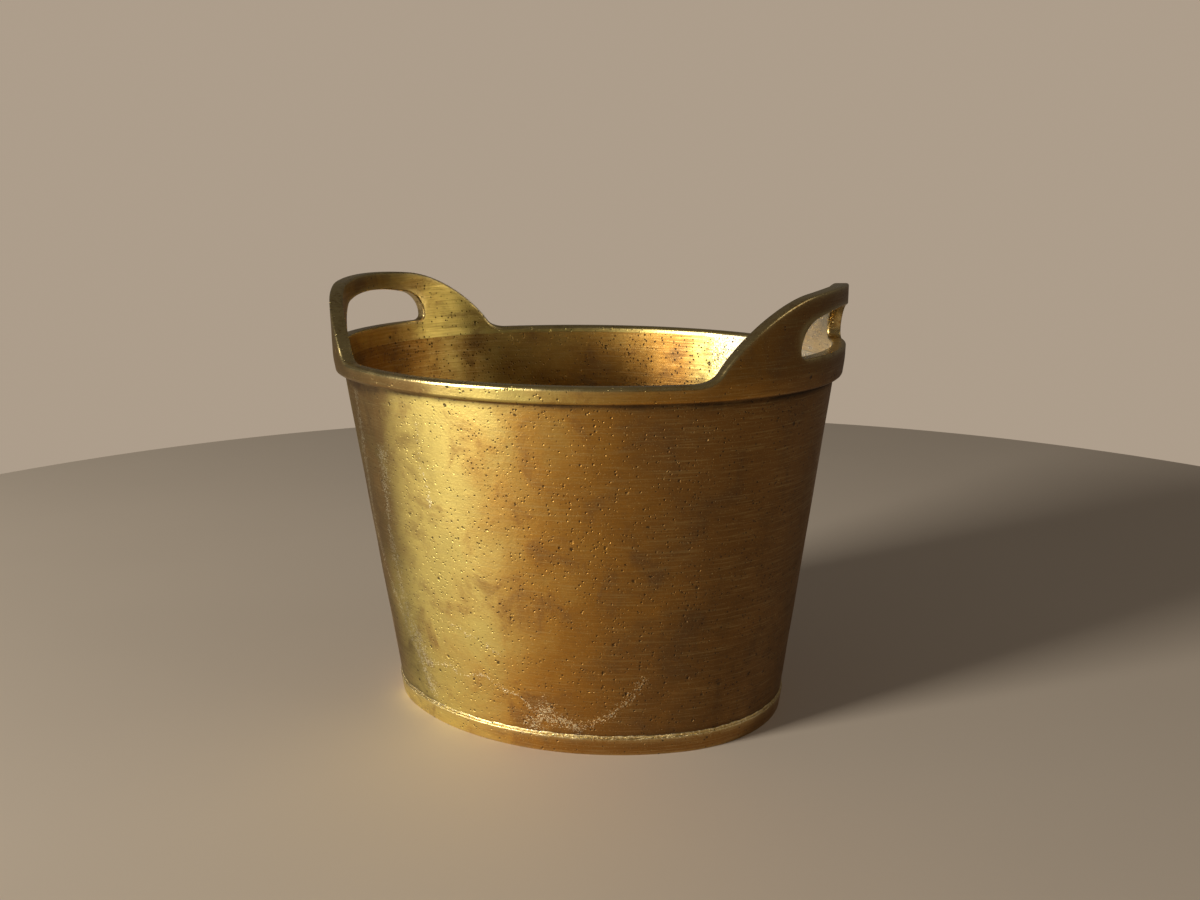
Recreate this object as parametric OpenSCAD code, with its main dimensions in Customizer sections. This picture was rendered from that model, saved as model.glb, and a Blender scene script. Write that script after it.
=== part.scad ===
// Oval brass planter pot with two upswept end handles.
// A tapered oval wall stands on a foot ring, the floor plate lies inside the ring,
// and a cast collar with both handles caps the wall. All joints are brazed.
// Origin: centre of the base on the surface that the pot stands on. X runs along
// the handles, Z is up. Every oval in the pot is the rim's four-centre oval moved
// in or out by one constant distance, so the walls keep an even thickness.

/* [Pot body] */
// Length of the rim's outer oval, handle end to handle end
rim_length = 300; // [270:1:400]
// Width of the rim's outer oval
rim_width = 249; // [180:1:264]
// Radius of the end arcs as a part of half the rim's width (1 would be a circle)
end_roundness = 0.905; // [0.75:0.005:0.95]
// Height of the rim above the base
rim_height = 208; // [120:1:300]
// Angle by which the wall leans outwards all round
draft = 7.6; // [2:0.1:11]
// Thickness of the wall, measured level
wall = 3; // [1.5:0.1:5]

/* [Collar] */
// How far the collar's band stands out from the wall
band_proud = 4.6; // [3:0.1:8]
// Height of the band on the outside of the wall
band_height = 9.1; // [6:0.1:20]
// Height of the solid rim above the wall's top edge
rim_cap = 4; // [2:0.1:5.5]
// Rounding of the band's lower edge
band_round = 1.8; // [0.5:0.1:2.4]

/* [Handles] */
// Height of each handle above the rim
handle_height = 41.5; // [32:0.5:56]
// Distance from a handle's middle to where its foot meets the rim
handle_reach = 94; // [80:1:110]
// Radius of the handle's nearly flat crown
crown_radius = 380; // [200:5:600]
// Radius of the handle's shoulders
shoulder_radius = 62; // [45:1:75]
// Radius of the hollow between a shoulder and the rim
foot_fillet = 9; // [3:0.5:14]
// Outward lean of the handles
handle_lean = 1; // [0:0.5:6]

/* [Finger holes] */
// Width of each finger hole
hole_width = 94; // [60:1:116]
// Height of each finger hole
hole_height = 23; // [18.5:0.5:26]
// Radius of the hole's arched upper edge
hole_arch_radius = 170; // [120:5:600]
// Height of the hole's lower edge above the rim
hole_rise = 8; // [3:0.5:9]
// Radius of the hole's two upper corners
hole_top_radius = 16; // [4:0.5:16]
// Radius of the hole's two lower corners
hole_low_radius = 5; // [2:0.5:7]

/* [Foot ring and floor] */
// Height of the foot band on the outside
foot_height = 10.5; // [8:0.1:20]
// How far the foot band stands out from the wall
foot_proud = 0.9; // [0.6:0.1:2.5]
// Rounding of the foot band's two outer edges
foot_round = 0.6; // [0.2:0.05:0.6]
// Height of the lip that stands inside the wall, above the foot band
lip_height = 6; // [3:0.5:12]
// Thickness of that lip
lip_wall = 2.5; // [1.5:0.1:4]
// Width of the ledge that carries the floor plate
ledge_width = 8; // [5:0.5:15]
// Thickness of that ledge, which lifts the floor off the table
ledge_height = 4; // [2:0.5:6]
// Thickness of the floor plate
floor_thickness = 2.5; // [1.5:0.1:4]

/* [Brazing] */
// Gap that the brazing metal runs into where two pieces lap
braze_gap = 0.1; // [0.05:0.05:0.2]
// Leg of the brazed fillet under the collar
collar_leg = 1.6; // [0.8:0.1:2.2]
// Height of the brazed bead above the foot band
foot_leg = 1.8; // [1:0.1:3]
// Thickness of that bead's upper edge
bead_edge = 0.1; // [0.05:0.05:0.2]
// Leg of the brazed fillet round the floor
floor_leg = 2.2; // [1:0.1:3]

/* [Hidden] */
$fn = 144;

brass = [0.71, 0.53, 0.20];
dull_brass = [0.55, 0.39, 0.16];
braze_metal = [0.83, 0.70, 0.38];

// Steps in an arc that is part of an outline
arc_steps = 12;
section_steps = 4;
// Cutting pieces run this far past what they cut
past = 5;
// Shortest straight left between two corners of an outline
least_step = 0.2;
// Height that the hole's upper corners leave for the lower ones
hole_side = 1.2;

// Four-centre oval: end arcs about (+-end_x, 0), side arcs about (0, -+side_y)
half_length = rim_length / 2;
half_width = rim_width / 2;
end_r = end_roundness * half_width;
end_x = half_length - end_r;
side_r = (end_x * end_x + half_width * half_width - end_r * end_r)
         / (2 * (half_width - end_r));
side_y = side_r - half_width;
// Half angle of an end arc, where it meets the side arcs
end_angle = atan2(side_y, end_x);

// Distance of each surface from the rim's outer oval, at a height z
function band_face(z) = -(rim_height - z) * tan(draft);
function wall_outside(z) = band_face(z) - band_proud;
function wall_inside(z) = wall_outside(z) - wall;
function foot_face(z) = wall_outside(z) + foot_proud;
function lip_outside(z) = wall_inside(z) - braze_gap;
function lip_inside(z) = lip_outside(z) - lip_wall;

collar_wall = band_proud + wall;
band_bottom = rim_height - band_height;
wall_top = rim_height - rim_cap;
handle_top = rim_height + handle_height;
lip_top = foot_height + lip_height;
floor_top = ledge_height + floor_thickness;
floor_reach = lip_inside(ledge_height) - ledge_width;
// The foot band's rounding leaves a flat on its shoulder for the brazed bead
foot_corner = min(foot_round, foot_proud - least_step);

// Points of an arc about [x, y], both ends included
function arc(x, y, r, from, to, steps) =
    [for (i = [0 : steps])
        let (a = from + (to - from) * i / steps)
        [x + r * cos(a), y + r * sin(a)]];

// The side arcs end, and the end arcs take over, this many degrees past the line
// on which both arcs have the same direction
seam_turn = 1.5;

// Half length of the stretch between the end arcs, at a distance from the oval
function side_reach(distance) =
    end_x + (end_r + distance) * cos(end_angle - seam_turn);

// A solid with the oval's outline at every height. The profile's points are
// [distance from the rim's outer oval, height], from the bottom to the top.
module oval_solid(profile) {
    intersection() {
        translate([0, -side_y]) turned(profile, side_r);
        translate([0, side_y]) turned(profile, side_r);
        union() {
            translate([-end_x, 0]) turned(profile, end_r);
            translate([end_x, 0]) turned(profile, end_r);
            between_ends(profile);
        }
    }
}

module turned(profile, r) {
    rotate_extrude()
        polygon(concat([[0, profile[0][1]]],
                       [for (p = profile) [r + p[0], p[1]]],
                       [[0, profile[len(profile) - 1][1]]]));
}

module between_ends(profile) {
    last = len(profile) - 1;
    rotate([90, 0, 0])
        linear_extrude(rim_width + 2 * past, center = true)
            polygon(concat(
                [for (p = profile) [side_reach(p[0]), p[1]]],
                [for (i = [last : -1 : 0]) [-side_reach(profile[i][0]), profile[i][1]]]));
}

// A ring between an outer and an inner profile
module oval_ring(outer, inner) {
    difference() {
        oval_solid(outer);
        oval_solid(inner);
    }
}

// Handle outline in a side view, [y, z]: a crown arc, a shoulder arc tangent to
// it, and a hollow arc tangent to the shoulder and to the rim.
crown_z = handle_top - crown_radius;
hollow_z = rim_height + foot_fillet;
crown_to_shoulder = crown_radius - shoulder_radius;
shoulder_to_hollow = shoulder_radius + foot_fillet;
centres = norm([handle_reach, hollow_z - crown_z]);
along = (pow(crown_to_shoulder, 2) - pow(shoulder_to_hollow, 2) + pow(centres, 2))
        / (2 * centres);
across = sqrt(pow(crown_to_shoulder, 2) - pow(along, 2));
shoulder_y = (along * handle_reach - across * (hollow_z - crown_z)) / centres;
shoulder_z = crown_z + (along * (hollow_z - crown_z) + across * handle_reach) / centres;
// Directions in which the arcs meet, from the horizontal
crown_end = atan2(shoulder_z - crown_z, shoulder_y);
shoulder_end = atan2(hollow_z - shoulder_z, handle_reach - shoulder_y);

half_outline = concat(
    arc(0, crown_z, crown_radius, 90, crown_end, arc_steps),
    arc(shoulder_y, shoulder_z, shoulder_radius, crown_end, shoulder_end, arc_steps),
    arc(handle_reach, hollow_z, foot_fillet, 180 + shoulder_end, 270, arc_steps));

// Everything below the rim and the handles' outline, across the whole width
module collar_outline() {
    edge = half_width + past;
    low = band_bottom - past;
    last = len(half_outline) - 1;
    polygon(concat(
        half_outline,
        [[edge, rim_height], [edge, low], [-edge, low], [-edge, rim_height]],
        [for (i = [last : -1 : 1]) [-half_outline[i][0], half_outline[i][1]]]));
}

// Finger hole: an arched upper edge, large upper corners tangent to it, and small
// lower corners in the height that the upper ones leave
module hole_outline() {
    y = hole_width / 2;
    low = rim_height + hole_rise;
    arch_z = low + hole_height - hole_arch_radius;
    // The largest upper corner that leaves the hole a straight side
    room = hole_arch_radius - hole_height + hole_side;
    largest = (pow(hole_arch_radius, 2) - pow(y, 2) - pow(room, 2))
              / (2 * (hole_arch_radius - y));
    big = min(hole_top_radius, largest);
    big_y = y - big;
    big_z = arch_z + sqrt(pow(hole_arch_radius - big, 2) - pow(big_y, 2));
    small = min(hole_low_radius, big_z - low - least_step);
    // Direction in which a corner meets the arch
    meet = atan2(big_z - arch_z, big_y);
    polygon(concat(
        arc(y - small, low + small, small, -90, 0, section_steps),
        arc(big_y, big_z, big, 0, meet, arc_steps),
        arc(0, arch_z, hole_arch_radius, meet, 180 - meet, arc_steps),
        arc(-big_y, big_z, big, 180 - meet, 180, arc_steps),
        arc(small - y, low + small, small, 180, 270, section_steps)));
}

// Carries a side-view outline through the pot from end to end
module along_x() {
    rotate([90, 0, 90])
        linear_extrude(rim_length + 2 * handle_height, center = true)
            children();
}

// Rim band with both handles, one casting. It sits on the wall's top edge and
// laps over the wall's outside.
module handle_collar() {
    top = handle_top + past;
    lean = (top - rim_height) * tan(handle_lean);
    below = band_bottom - past;
    color(brass)
        difference() {
            intersection() {
                oval_ring(
                    concat(
                        arc(band_face(band_bottom) - band_round,
                            band_bottom + band_round, band_round,
                            -90, 0, section_steps),
                        [[0, rim_height], [lean, top]]),
                    [[wall_outside(below) + braze_gap, below],
                     [wall_outside(wall_top) + braze_gap, wall_top],
                     [wall_inside(wall_top), wall_top],
                     [-collar_wall, rim_height],
                     [lean + past * tan(handle_lean) - collar_wall, top + past]]);
                along_x() collar_outline();
            }
            along_x() hole_outline();
        }
}

// Tapered wall between the foot ring's shoulder and the collar
module wall_shell() {
    below = foot_height - past;
    above = wall_top + past;
    color(brass)
        oval_ring([[wall_outside(foot_height), foot_height],
                   [wall_outside(wall_top), wall_top]],
                  [[wall_inside(below), below],
                   [wall_inside(above), above]]);
}

// Foot band with a shoulder that the wall stands on, a lip inside the wall and
// a ledge under the floor plate
module foot_ring() {
    above = lip_top + past;
    color(brass)
        oval_ring(
            concat(
                arc(foot_face(0) - foot_corner, foot_corner, foot_corner,
                    -90, 0, section_steps),
                arc(foot_face(foot_height) - foot_corner, foot_height - foot_corner,
                    foot_corner, 0, 90, section_steps),
                [[lip_outside(foot_height), foot_height],
                 [lip_outside(lip_top), lip_top]]),
            [[floor_reach, -past],
             [floor_reach, ledge_height],
             [lip_inside(ledge_height), ledge_height],
             [lip_inside(above), above]]);
}

// Floor of the pot, lying on the ledge inside the lip
module floor_plate() {
    color(dull_brass)
        oval_solid([[lip_inside(ledge_height) - braze_gap, ledge_height],
                    [lip_inside(floor_top) - braze_gap, floor_top]]);
}

// Hollow fillet of brazing metal in the corner under the collar's band
module collar_braze() {
    low = band_bottom - collar_leg;
    below = low - past;
    above = band_bottom + past;
    color(braze_metal)
        oval_ring(arc(wall_outside(band_bottom) + collar_leg, low, collar_leg,
                      180, 90, section_steps),
                  [[wall_outside(below), below],
                   [wall_outside(above), above]]);
}

// Bead of brazing metal on the foot band's shoulder, against the wall
module foot_braze() {
    high = foot_height + foot_leg;
    below = foot_height - past;
    above = high + past;
    face = foot_face(foot_height) - foot_corner;
    color(braze_metal)
        oval_ring([[face, foot_height],
                   [face, foot_height + foot_leg / 2],
                   [wall_outside(high) + bead_edge, high]],
                  [[wall_outside(below), below],
                   [wall_outside(above), above]]);
}

// Hollow fillet of brazing metal round the edge of the floor, against the lip
module floor_braze() {
    high = floor_top + floor_leg;
    edge = lip_inside(floor_top);
    color(braze_metal)
        oval_ring([[edge, floor_top],
                   [lip_inside(high), high]],
                  concat(
                      [[edge - floor_leg, floor_top - past]],
                      arc(edge - floor_leg, high, floor_leg, 270, 360, section_steps),
                      [[edge, high + past]]));
}

handle_collar();
wall_shell();
foot_ring();
floor_plate();
collar_braze();
foot_braze();
floor_braze();
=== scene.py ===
import math

import bpy
import numpy as np
from bpy.props import FloatProperty, FloatVectorProperty, IntProperty, PointerProperty
from bpy.types import Operator, Panel, PropertyGroup
from mathutils import Matrix, Vector


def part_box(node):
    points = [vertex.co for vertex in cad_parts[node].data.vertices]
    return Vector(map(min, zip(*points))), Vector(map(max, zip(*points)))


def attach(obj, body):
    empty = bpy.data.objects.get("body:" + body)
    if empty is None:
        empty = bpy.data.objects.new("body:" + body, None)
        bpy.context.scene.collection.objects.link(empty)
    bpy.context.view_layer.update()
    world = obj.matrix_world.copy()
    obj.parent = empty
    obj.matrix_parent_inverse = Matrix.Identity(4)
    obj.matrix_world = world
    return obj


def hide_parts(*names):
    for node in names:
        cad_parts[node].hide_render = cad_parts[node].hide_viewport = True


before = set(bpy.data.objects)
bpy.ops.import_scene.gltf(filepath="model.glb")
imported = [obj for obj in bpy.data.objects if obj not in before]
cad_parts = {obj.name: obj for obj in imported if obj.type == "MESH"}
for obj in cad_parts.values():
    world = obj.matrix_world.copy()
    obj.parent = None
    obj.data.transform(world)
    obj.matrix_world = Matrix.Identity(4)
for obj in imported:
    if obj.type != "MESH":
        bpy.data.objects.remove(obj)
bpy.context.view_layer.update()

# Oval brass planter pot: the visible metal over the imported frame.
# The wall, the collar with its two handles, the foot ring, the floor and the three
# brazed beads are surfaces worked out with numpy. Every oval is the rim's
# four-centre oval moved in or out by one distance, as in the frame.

bl_info = {
    "name": "Oval brass planter pot",
    "version": (1, 0, 0),
    "blender": (4, 5, 0),
    "location": "View3D > Sidebar > Planter",
    "description": "Brass planter pot with two upswept handles",
    "category": "Add Mesh",
}

COLLAR_LOW, COLLAR_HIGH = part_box("handle_collar")
WALL_LOW, WALL_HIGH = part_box("wall_shell")
FOOT_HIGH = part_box("foot_ring")[1]
FLOOR_LOW, FLOOR_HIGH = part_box("floor_plate")
MM = 0.001
# A support row this far from a sharp corner keeps the shading of a face flat
SUPPORT = 0.15 * MM
# The brazed beads sink this far into the metal they sit on
BITE = 0.05 * MM
# Value of the mark "fray" where no scratch is near
NO_SCRATCH = 12.0
# Steps of the wall's outer face in height; its inner face takes every third of them
WALL_ROWS, INNER_STEP = 117, 3
# Rows of the collar's grid, and the rows of a finger hole's lower and upper edge
COLLAR_ROWS, LOW_ROW, HIGH_ROW = 36, 12, 26
# Columns from a finger hole's middle to its side, as a share of all columns
HOLE_SPAN = 34 / 600
# Columns past a finger hole's side over which its pull on the grid fades
PULL_COLUMNS = 22
# Distance along the oval, from a handle's middle, over which columns are moved
HANDLE_ZONE = 0.19


def length(name, description, default):
    return FloatProperty(name=name, description=description, default=default,
                         unit="LENGTH", precision=5)


def angle(name, description, degrees):
    return FloatProperty(name=name, description=description,
                         default=math.radians(degrees), unit="ROTATION")


def share(name, description, default):
    return FloatProperty(name=name, description=description, default=default,
                         min=0.0, max=1.0, subtype="FACTOR")


def colour(name, description, default):
    return FloatVectorProperty(name=name, description=description, default=default,
                               size=3, min=0.0, max=1.0, subtype="COLOR")


class PotSizes(PropertyGroup):
    """Sizes of the pot, the same as the frame's"""
    rim_length: length("Rim length", "Length of the rim's outer oval", 0.300)
    rim_width: length("Rim width", "Width of the rim's outer oval",
                      COLLAR_HIGH.y - COLLAR_LOW.y)
    end_roundness: share("End roundness", "Radius of the end arcs over half the width",
                         0.905)
    draft: angle("Draft", "Outward lean of the wall", 7.6)
    wall: length("Wall", "Thickness of the wall", 0.003)
    band_proud: length("Band", "How far the collar's band stands out", 0.0046)
    band_round: length("Band rounding", "Rounding of the band's lower edge", 0.0018)
    rim_cap: length("Rim cap", "Solid rim above the wall's top edge", 0.004)
    handle_reach: length("Handle reach", "Handle's middle to its foot", 0.094)
    crown_radius: length("Crown radius", "Radius of the handle's crown", 0.380)
    shoulder_radius: length("Shoulder radius", "Radius of its shoulders", 0.062)
    foot_fillet: length("Hollow radius", "Radius between shoulder and rim", 0.009)
    handle_lean: angle("Handle lean", "Outward lean of the handles", 1.0)
    hole_width: length("Hole width", "Width of each finger hole", 0.094)
    hole_height: length("Hole height", "Height of each finger hole", 0.023)
    hole_arch_radius: length("Hole arch", "Radius of its arched upper edge", 0.170)
    hole_side: length("Hole side", "Height left for the lower corners", 0.0012)
    least_step: length("Least step", "Shortest straight of an outline", 0.0002)
    hole_rise: length("Hole rise", "Height of the hole above the rim", 0.008)
    hole_top_radius: length("Upper corners", "Radius of the upper corners", 0.016)
    hole_low_radius: length("Lower corners", "Radius of the lower corners", 0.005)
    foot_proud: length("Foot band", "How far the foot band stands out", 0.0009)
    foot_round: length("Foot rounding", "Rounding of the foot band", 0.0006)
    lip_wall: length("Lip", "Thickness of the lip inside the wall", 0.0025)
    ledge_width: length("Ledge", "Width of the ledge under the floor", 0.008)
    gap: length("Braze gap", "Gap where two pieces lap", 0.0001)
    edge_round: length("Edge rounding", "Rounding of the rim's edges", 0.0022)
    handle_round: length("Handle rounding", "Rounding of the handles' edges", 0.0012)
    hole_round: length("Hole rounding", "Rounding of the finger holes' edges", 0.0009)
    collar_leg: length("Collar fillet", "Leg of the fillet under the collar", 0.0016)
    foot_leg: length("Foot bead", "Height of the bead over the foot band", 0.0018)
    floor_leg: length("Floor fillet", "Leg of the fillet round the floor", 0.0022)
    columns: IntProperty(name="Columns", description="Steps round the pot",
                         default=600, min=120)


class PotFinish(PropertyGroup):
    """Colours and depths of the brass"""
    bright: colour("Bright brass", "Polished metal", (0.85, 0.68, 0.30))
    # the yellow brass is a painted highlight, laid in a band towards the left end
    highlight_yellow: colour("Yellow brass", "Cleanest brushed metal", (0.78, 0.66, 0.20))
    gold: colour("Gold brass", "Brushed metal", (0.60, 0.405, 0.105))
    warm: colour("Warm brass", "Tarnished metal", (0.46, 0.215, 0.030))
    # patina is also painted as shade at the far left edge and towards the right end
    patina_and_shade: colour("Patina", "Old brown skin", (0.20, 0.10, 0.035))
    # the pale brass is a painted highlight inside the right end of the pot
    pale: colour("Pale brass", "Bright, almost white metal", (0.96, 0.90, 0.78))
    # the dark skin is dirt in pits, and painted shade where the shade_and_dirt mark is
    # high: under the band, over the foot, inside the pot and at both ends
    soot_and_shade: colour("Dark skin", "Dirt in pits and corners", (0.045, 0.026, 0.014))
    scratch: colour("Scratch", "Bare metal in a scratch", (0.95, 0.83, 0.55))
    roughness: share("Roughness", "Roughness of the brushed metal", 0.42)
    skin: share("Skin", "Strength of the clear skin over the metal", 0.14)
    brushing: share("Brushing", "Depth of the brush lines", 0.5)


class StudioLook(PropertyGroup):
    """Camera and lights"""
    lens: FloatProperty(name="Lens", description="Focal length in millimetres on a "
                        "36 mm wide frame", default=36.39)
    distance: length("Distance", "Camera to the pot's axis, measured level", 0.7032)
    height: length("Height", "Camera above the floor", 0.3077)
    azimuth: angle("Azimuth", "Camera's turn round the pot from the front", 23.405)
    turn: angle("Turn", "Camera's turn away from the axis", 0.705)
    tilt: angle("Tilt", "Camera's downward tilt", 12.766)
    roll: angle("Roll", "Camera's roll", -0.51)
    floor_colour: colour("Floor", "Plain floor", (0.66, 0.56, 0.45))
    backdrop: colour("Backdrop", "Plain backdrop", (0.42, 0.34, 0.26))
    room: colour("Room", "Light from the room", (1.0, 0.88, 0.76))
    room_light: share("Room light", "Strength of the room's light", 0.08)


# ---------------------------------------------------------------- the pot's shape

class Shape:
    """Measures that follow from the sizes, and the surfaces built on them"""

    def __init__(self, sizes):
        self.sizes = sizes
        half_length, half_width = sizes.rim_length / 2, sizes.rim_width / 2
        self.end_r = sizes.end_roundness * half_width
        self.end_x = half_length - self.end_r
        self.side_r = ((self.end_x ** 2 + half_width ** 2 - self.end_r ** 2)
                       / (2 * (half_width - self.end_r)))
        self.side_y = self.side_r - half_width
        self.end_angle = math.atan2(self.side_y, self.end_x)
        end = 2 * self.end_r * self.end_angle
        side = self.side_r * (math.pi - 2 * self.end_angle)
        self.around = 2 * (end + side)
        self.stops = np.array([0, end / 2, end / 2 + side, 1.5 * end + side,
                               1.5 * end + 2 * side, self.around])
        self.turns = np.array([0, self.end_angle, math.pi - self.end_angle,
                               math.pi + self.end_angle,
                               2 * math.pi - self.end_angle, 2 * math.pi])
        self.wall_top = WALL_HIGH.z
        self.rim = WALL_HIGH.z + sizes.rim_cap
        self.band_bottom = COLLAR_LOW.z
        self.handle_top = COLLAR_HIGH.z
        self.foot_height = WALL_LOW.z
        self.collar_wall = sizes.band_proud + sizes.wall

    def oval(self, s):
        """Point and outward direction at a distance s along the rim's outer oval.

        The direction turns evenly along each of the four arcs, and the point is the
        arc's centre plus its radius times that direction.
        """
        turn = np.interp(np.mod(s, self.around), self.stops, self.turns)
        out = np.stack([np.cos(turn), np.sin(turn)], axis=-1)
        on_end = np.abs(out[..., 1]) < math.sin(self.end_angle)
        centre = np.stack([np.where(on_end, np.sign(out[..., 0]) * self.end_x, 0.0),
                           np.where(on_end, 0.0, -np.sign(out[..., 1]) * self.side_y)],
                          axis=-1)
        radius = np.where(on_end, self.end_r, self.side_r)[..., None]
        return centre + radius * out, out

    def along_end(self, y):
        """Distance along the oval from an end's middle to the end arc's point at y."""
        return self.end_r * np.arcsin(y / self.end_r)

    def at(self, s, z, distance):
        """Points at a distance outside the rim's oval, at the height z.

        Each point is the oval's point plus the distance times its outward direction.
        """
        s, z, distance = np.broadcast_arrays(s, z, distance)
        point, out = self.oval(s)
        flat = point + distance[..., None] * out
        return np.concatenate([flat, z[..., None]], axis=-1)

    def face(self, z):
        """Distance of the band's face from the rim's oval at the height z: the wall's
        draft below the rim, the handles' lean above it, and an even bend between."""
        below, above = math.tan(self.sizes.draft), math.tan(self.sizes.handle_lean)
        bend = 3 * MM
        rise = np.asarray(z) - self.rim
        near = np.clip(rise, -bend, bend)
        curve = below * near + (above - below) * (near + bend) ** 2 / (4 * bend)
        return (curve + below * np.minimum(rise + bend, 0)
                + above * np.maximum(rise - bend, 0))

    def wall_outside(self, z):
        drop = self.rim - np.asarray(z)
        return -drop * math.tan(self.sizes.draft) - self.sizes.band_proud

    def wall_inside(self, z):
        return self.wall_outside(z) - self.sizes.wall

    def lip_inside(self, z):
        return self.wall_inside(z) - self.sizes.gap - self.sizes.lip_wall

    def handle_edge(self, y):
        """Height of the collar's top edge where the outer face is at y: a crown arc,
        a shoulder arc tangent to it, and a hollow arc tangent to the shoulder and
        to the rim."""
        size = self.sizes
        crown_z = self.handle_top - size.crown_radius
        hollow_z = self.rim + size.foot_fillet
        inner = size.crown_radius - size.shoulder_radius
        outer = size.shoulder_radius + size.foot_fillet
        reach, rise = size.handle_reach, hollow_z - crown_z
        centres = math.hypot(reach, rise)
        along = (inner ** 2 - outer ** 2 + centres ** 2) / (2 * centres)
        across = math.sqrt(inner ** 2 - along ** 2)
        shoulder_y = (along * reach - across * rise) / centres
        shoulder_z = crown_z + (along * rise + across * reach) / centres
        crown_turn = math.atan2(shoulder_z - crown_z, shoulder_y)
        crown_end = size.crown_radius * math.cos(crown_turn)
        hollow_turn = math.atan2(hollow_z - shoulder_z, reach - shoulder_y)
        shoulder_end = shoulder_y + size.shoulder_radius * math.cos(hollow_turn)
        far = np.abs(y)

        def height(centre_y, centre_z, radius, side):
            rise = np.clip(radius ** 2 - (far - centre_y) ** 2, 0, None)
            return centre_z + side * np.sqrt(rise)

        edge = np.where(far < crown_end, height(0, crown_z, size.crown_radius, 1),
                        height(shoulder_y, shoulder_z, size.shoulder_radius, 1))
        hollow = height(reach, hollow_z, size.foot_fillet, -1)
        edge = np.where(far > shoulder_end, hollow, edge)
        return np.where(far > reach, self.rim, edge)


def ripple(s, z, around, seed, waves=26, longest=0.16, shortest=0.018):
    """Soft unevenness of a casting, about -1 to 1: a sum of sine waves whose whole
    number of turns fits round the pot, each with its own slope and phase."""
    chance = np.random.default_rng(seed)
    low, high = around / longest, around / shortest
    total = np.zeros(np.broadcast(s, z).shape)
    for _ in range(waves):
        turns = np.round(low * (high / low) ** chance.random())
        climb = chance.normal() * 2 * math.pi * turns / around
        strength = chance.random() / math.sqrt(turns)
        phase = chance.random() * 2 * math.pi
        total += strength * np.sin(2 * math.pi * turns * s / around + climb * z + phase)
    return total / np.abs(total).max()


# ---------------------------------------------------------------- meshes

def quads_between(rows):
    """Faces between neighbouring rows of vertex numbers, round each closed row."""
    left, right = rows, np.roll(rows, -1, axis=1)
    quads = np.stack([left[:-1], right[:-1], right[1:], left[1:]], axis=-1)
    return quads.reshape(-1, 4)


def put_mesh(name, points, quads, marks, material, stands_for):
    """Makes one piece from points, four-sided faces and named values per point."""
    used, place = np.unique(quads, return_inverse=True)
    quads, points = place.reshape(quads.shape), points[used]
    mesh = bpy.data.meshes.new(name)
    mesh.vertices.add(len(points))
    mesh.vertices.foreach_set("co", points.astype(np.float32).ravel())
    mesh.loops.add(quads.size)
    mesh.loops.foreach_set("vertex_index", quads.astype(np.int32).ravel())
    mesh.polygons.add(len(quads))
    mesh.polygons.foreach_set("loop_start", np.arange(0, quads.size, 4, dtype=np.int32))
    mesh.polygons.foreach_set("use_smooth", np.ones(len(quads), dtype=bool))
    for mark, values in marks.items():
        layer = mesh.attributes.new(mark, "FLOAT", "POINT")
        layer.data.foreach_set("value", values[used].astype(np.float32))
    mesh.update(calc_edges=True)
    mesh.validate()
    piece = bpy.data.objects.new(name, mesh)
    bpy.context.scene.collection.objects.link(piece)
    mesh.materials.append(material)
    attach(piece, "root")
    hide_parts(stands_for)


def put_ring(name, points, marks, material, stands_for):
    """Makes one piece from a closed profile carried round the oval: rows of points,
    with the last row joined to the first, and marks that fit rows and columns."""
    grid = points.shape[:2]
    numbers = np.arange(grid[0] * grid[1]).reshape(grid)
    marks = {mark: np.broadcast_to(value, grid).ravel()
             for mark, value in marks.items()}
    put_mesh(name, points.reshape(-1, 3),
             quads_between(np.concatenate([numbers, numbers[:1]])),
             marks, material, stands_for)


def steps_round(shape, columns):
    """Distances along the oval of evenly spaced columns, as one row."""
    return (np.arange(columns) * shape.around / columns)[None, :]


def fade(value, start, end):
    """0 at the start, 1 at the end, and a smooth climb between."""
    part = np.clip((value - start) / (end - start), 0, 1)
    return part * part * (3 - 2 * part)


def arc(centre_a, centre_b, radius, start, end, steps):
    """Points of an arc, from the start angle to the end angle in degrees, as one
    column; the centre and the radius may be rows."""
    turn = np.radians(np.linspace(start, end, steps + 1))[:, None]
    return centre_a + radius * np.cos(turn), centre_b + radius * np.sin(turn)


# ---------------------------------------------------------------- finishes

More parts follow.
